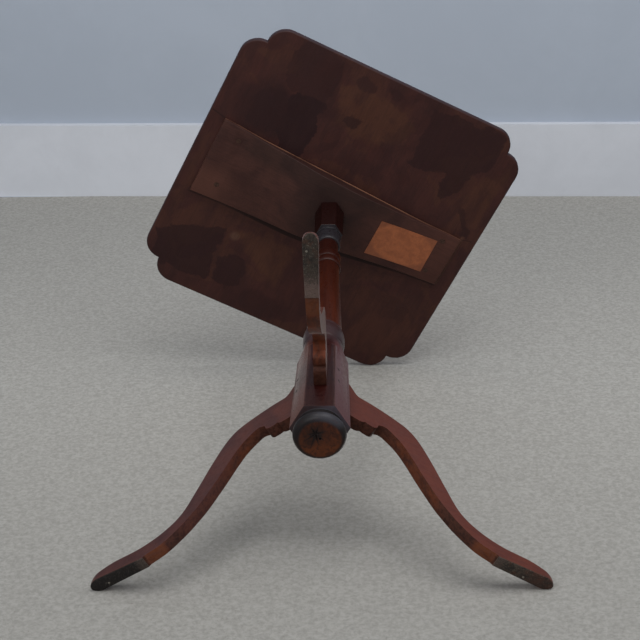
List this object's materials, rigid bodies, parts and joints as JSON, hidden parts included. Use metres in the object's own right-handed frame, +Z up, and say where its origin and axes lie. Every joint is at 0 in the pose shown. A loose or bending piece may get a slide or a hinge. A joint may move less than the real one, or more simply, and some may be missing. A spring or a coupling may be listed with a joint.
{
  "type": "candlestand",
  "caption": "Small square-topped stand with notched corners, a turned and faceted pillar and S-curved legs on pointed toes.",
  "frame": {"origin": "on the floor, under the middle of the whole stand's width and depth; the pillar's axis is 18.9 mm behind it along +Y", "axes": "+Z up along the pillar; -Y towards the front leg's toe"},
  "size_m": [0.5344, 0.5722, 0.681],
  "materials": {
    "board_wood": "dark stained board with cloudy old varnish",
    "frame_wood": "red-brown varnish, worn at the arrises",
    "pin_wood": "dark end grain",
    "toe_pad": "worn matt grey",
    "screw_steel": "dull, darkened by stain"
  },
  "bodies": {
    "root": {"top_board": "board_wood", "cleat": "board_wood", "pillar": "frame_wood", "tenon_wedge": "pin_wood", "leg_front": "frame_wood", "leg_right": "frame_wood", "leg_left": "frame_wood", "pin_front_upper": "pin_wood", "pin_front_lower": "pin_wood", "pin_right_upper": "pin_wood", "pin_right_lower": "pin_wood", "pin_left_upper": "pin_wood", "pin_left_lower": "pin_wood", "toe_pad_front": "toe_pad", "toe_pad_right": "toe_pad", "toe_pad_left": "toe_pad", "cleat_screw_1": "screw_steel", "cleat_screw_2": "screw_steel", "cleat_screw_3": "screw_steel", "cleat_screw_4": "screw_steel"}
  },
  "joints": []
}
